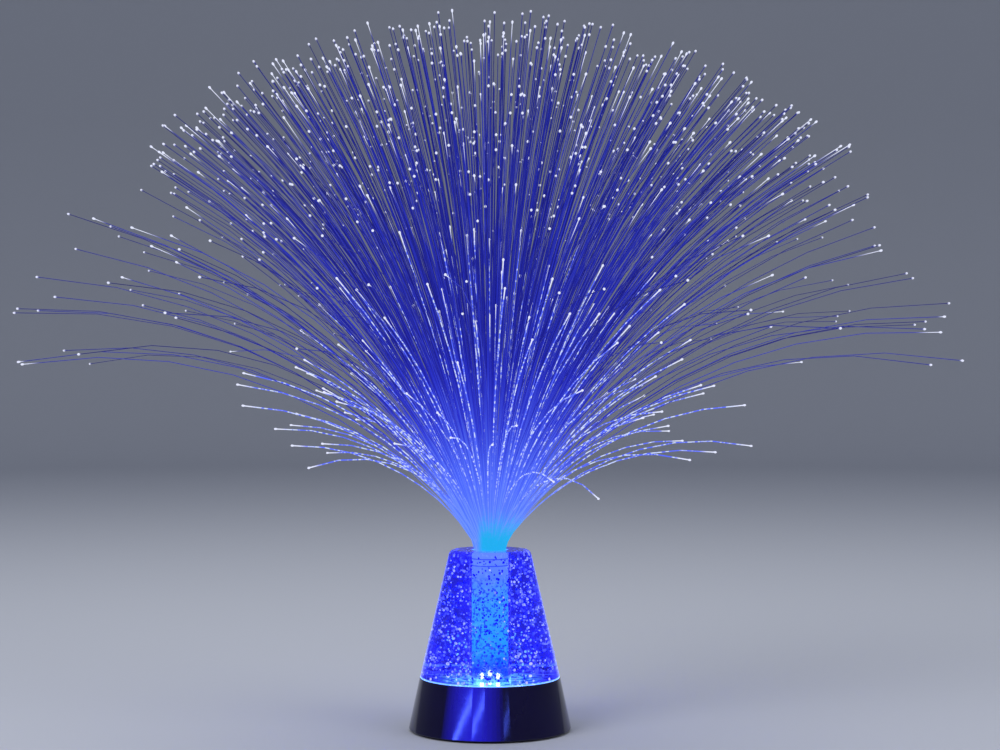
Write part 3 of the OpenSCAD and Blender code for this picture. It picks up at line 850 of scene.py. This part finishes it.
def lamp(name, place, size, power, mirrored=True):
    """A soft square lamp aimed at the spray. One that isn't mirrored leaves no patch in the
    gloss."""
    bpy.ops.object.light_add(type="AREA", location=place)
    light = bpy.context.object
    light.name = name
    light.data.size = size
    light.data.energy = power
    light.visible_glossy = mirrored
    light.visible_camera = False
    light.rotation_euler = (LAMP_AIM - light.location).to_track_quat("-Z", "Y").to_euler()


# Lights that only the gloss of the base shows: three slanted streaks, and a blue wash between two
# ends that is brightest at its core. Each bar of the wash is a little nearer than the last
STREAKS = [
    ("left streak", (-0.416, -0.803, 0.243), (-0.734, -0.55, 0.173), 0.75),
    ("middle streak", (-0.127, -0.894, 0.254), (-0.386, -0.824, 0.22), 0.4),
    ("right streak", (0.445, -0.79, 0.234), (0.308, -0.856, 0.224), 0.08),
]
STREAK_THICK = 0.01
STREAK_BLUE = (0.07, 0.12, 1.0)
WASH_LEFT = Vector((-0.87, -0.3, 0.17))
WASH_CORE = Vector((-0.3, -0.568, 0.184))
WASH_RIGHT = Vector((0.3, -0.85, 0.2))
WASH_THICK = 0.24
WASH_BLUE = (0.02, 0.015, 1.0)
WASH_STEPS = 7
WASH_NEARER = 0.01
WASH_POWER = 2.1


def bar(name, first, last, thick, power, color):
    """A bar of light between two points, mirrored in the gloss of the base: a thin one as a slanted
    streak. It lights nothing that isn't glossy."""
    middle = (first + last) / 2.0
    bpy.ops.object.light_add(type="AREA", location=middle)
    light = bpy.context.object
    light.name = name
    light.data.shape = "RECTANGLE"
    light.data.size = (last - first).length
    light.data.size_y = thick
    light.data.energy = power
    light.data.color = color
    light.visible_camera = False
    light.visible_diffuse = False
    along = (last - first).normalized()
    back = (middle - Vector((0.0, 0.0, RIM_Z / 2.0))).normalized()
    up = back.cross(along).normalized()
    light.rotation_euler = Matrix((along, up, along.cross(up))).transposed().to_euler()


def blue_wash():
    """Longer and longer bars round one place, mirrored as a blue glow that fades to both sides."""
    for step in range(WASH_STEPS):
        share = (step + 1) / WASH_STEPS
        nearer = 1.0 - WASH_NEARER * step
        first = WASH_CORE.lerp(WASH_LEFT, share) * nearer
        last = WASH_CORE.lerp(WASH_RIGHT, share) * nearer
        bar(f"blue wash {step + 1}", first, last, WASH_THICK, WASH_POWER * share, WASH_BLUE)


WORLD_COLOR = (0.8, 0.85, 1.0, 1.0)
WORLD_STRENGTH = 0.45


def lighting():
    """Three soft lamps, the streaks and the wash that the base mirrors, and a pale world."""
    lamp("key light", (-0.9, -1.0, 1.1), 0.9, 13.0, mirrored=False)
    lamp("fill light", (1.1, -0.8, 0.7), 1.0, 6.0, mirrored=False)
    lamp("top light", (0.0, 0.3, 1.5), 1.2, 9.0)
    for name, first, last, power in STREAKS:
        bar(name, Vector(first), Vector(last), STREAK_THICK, power, STREAK_BLUE)
    blue_wash()
    world = bpy.data.worlds.new("studio")
    world.use_nodes = True
    background = world.node_tree.nodes["Background"]
    background.inputs["Color"].default_value = WORLD_COLOR
    background.inputs["Strength"].default_value = WORLD_STRENGTH
    bpy.context.scene.world = world


def camera():
    """Level with the spray's middle, in front of the lamp, and framed as the photograph is."""
    bpy.ops.object.camera_add()
    view = bpy.context.object
    offset = (PHOTO_WIDTH / 2 - AXIS_PIXEL_X) * METRES_PER_PIXEL
    view.location = (offset, -CAMERA_DISTANCE, CAMERA_HEIGHT)
    view.rotation_euler = (math.pi / 2.0, 0.0, 0.0)
    view.data.sensor_width = SENSOR_WIDTH
    view.data.lens = SENSOR_WIDTH * CAMERA_DISTANCE / (PHOTO_WIDTH * METRES_PER_PIXEL)
    view.data.clip_start = 0.01
    bpy.context.scene.camera = view


camera()
lighting()
bowl()
finishes()
bubbles()
led_glows()
fibre_spray()
bpy.context.scene.view_settings.view_transform = "Standard"
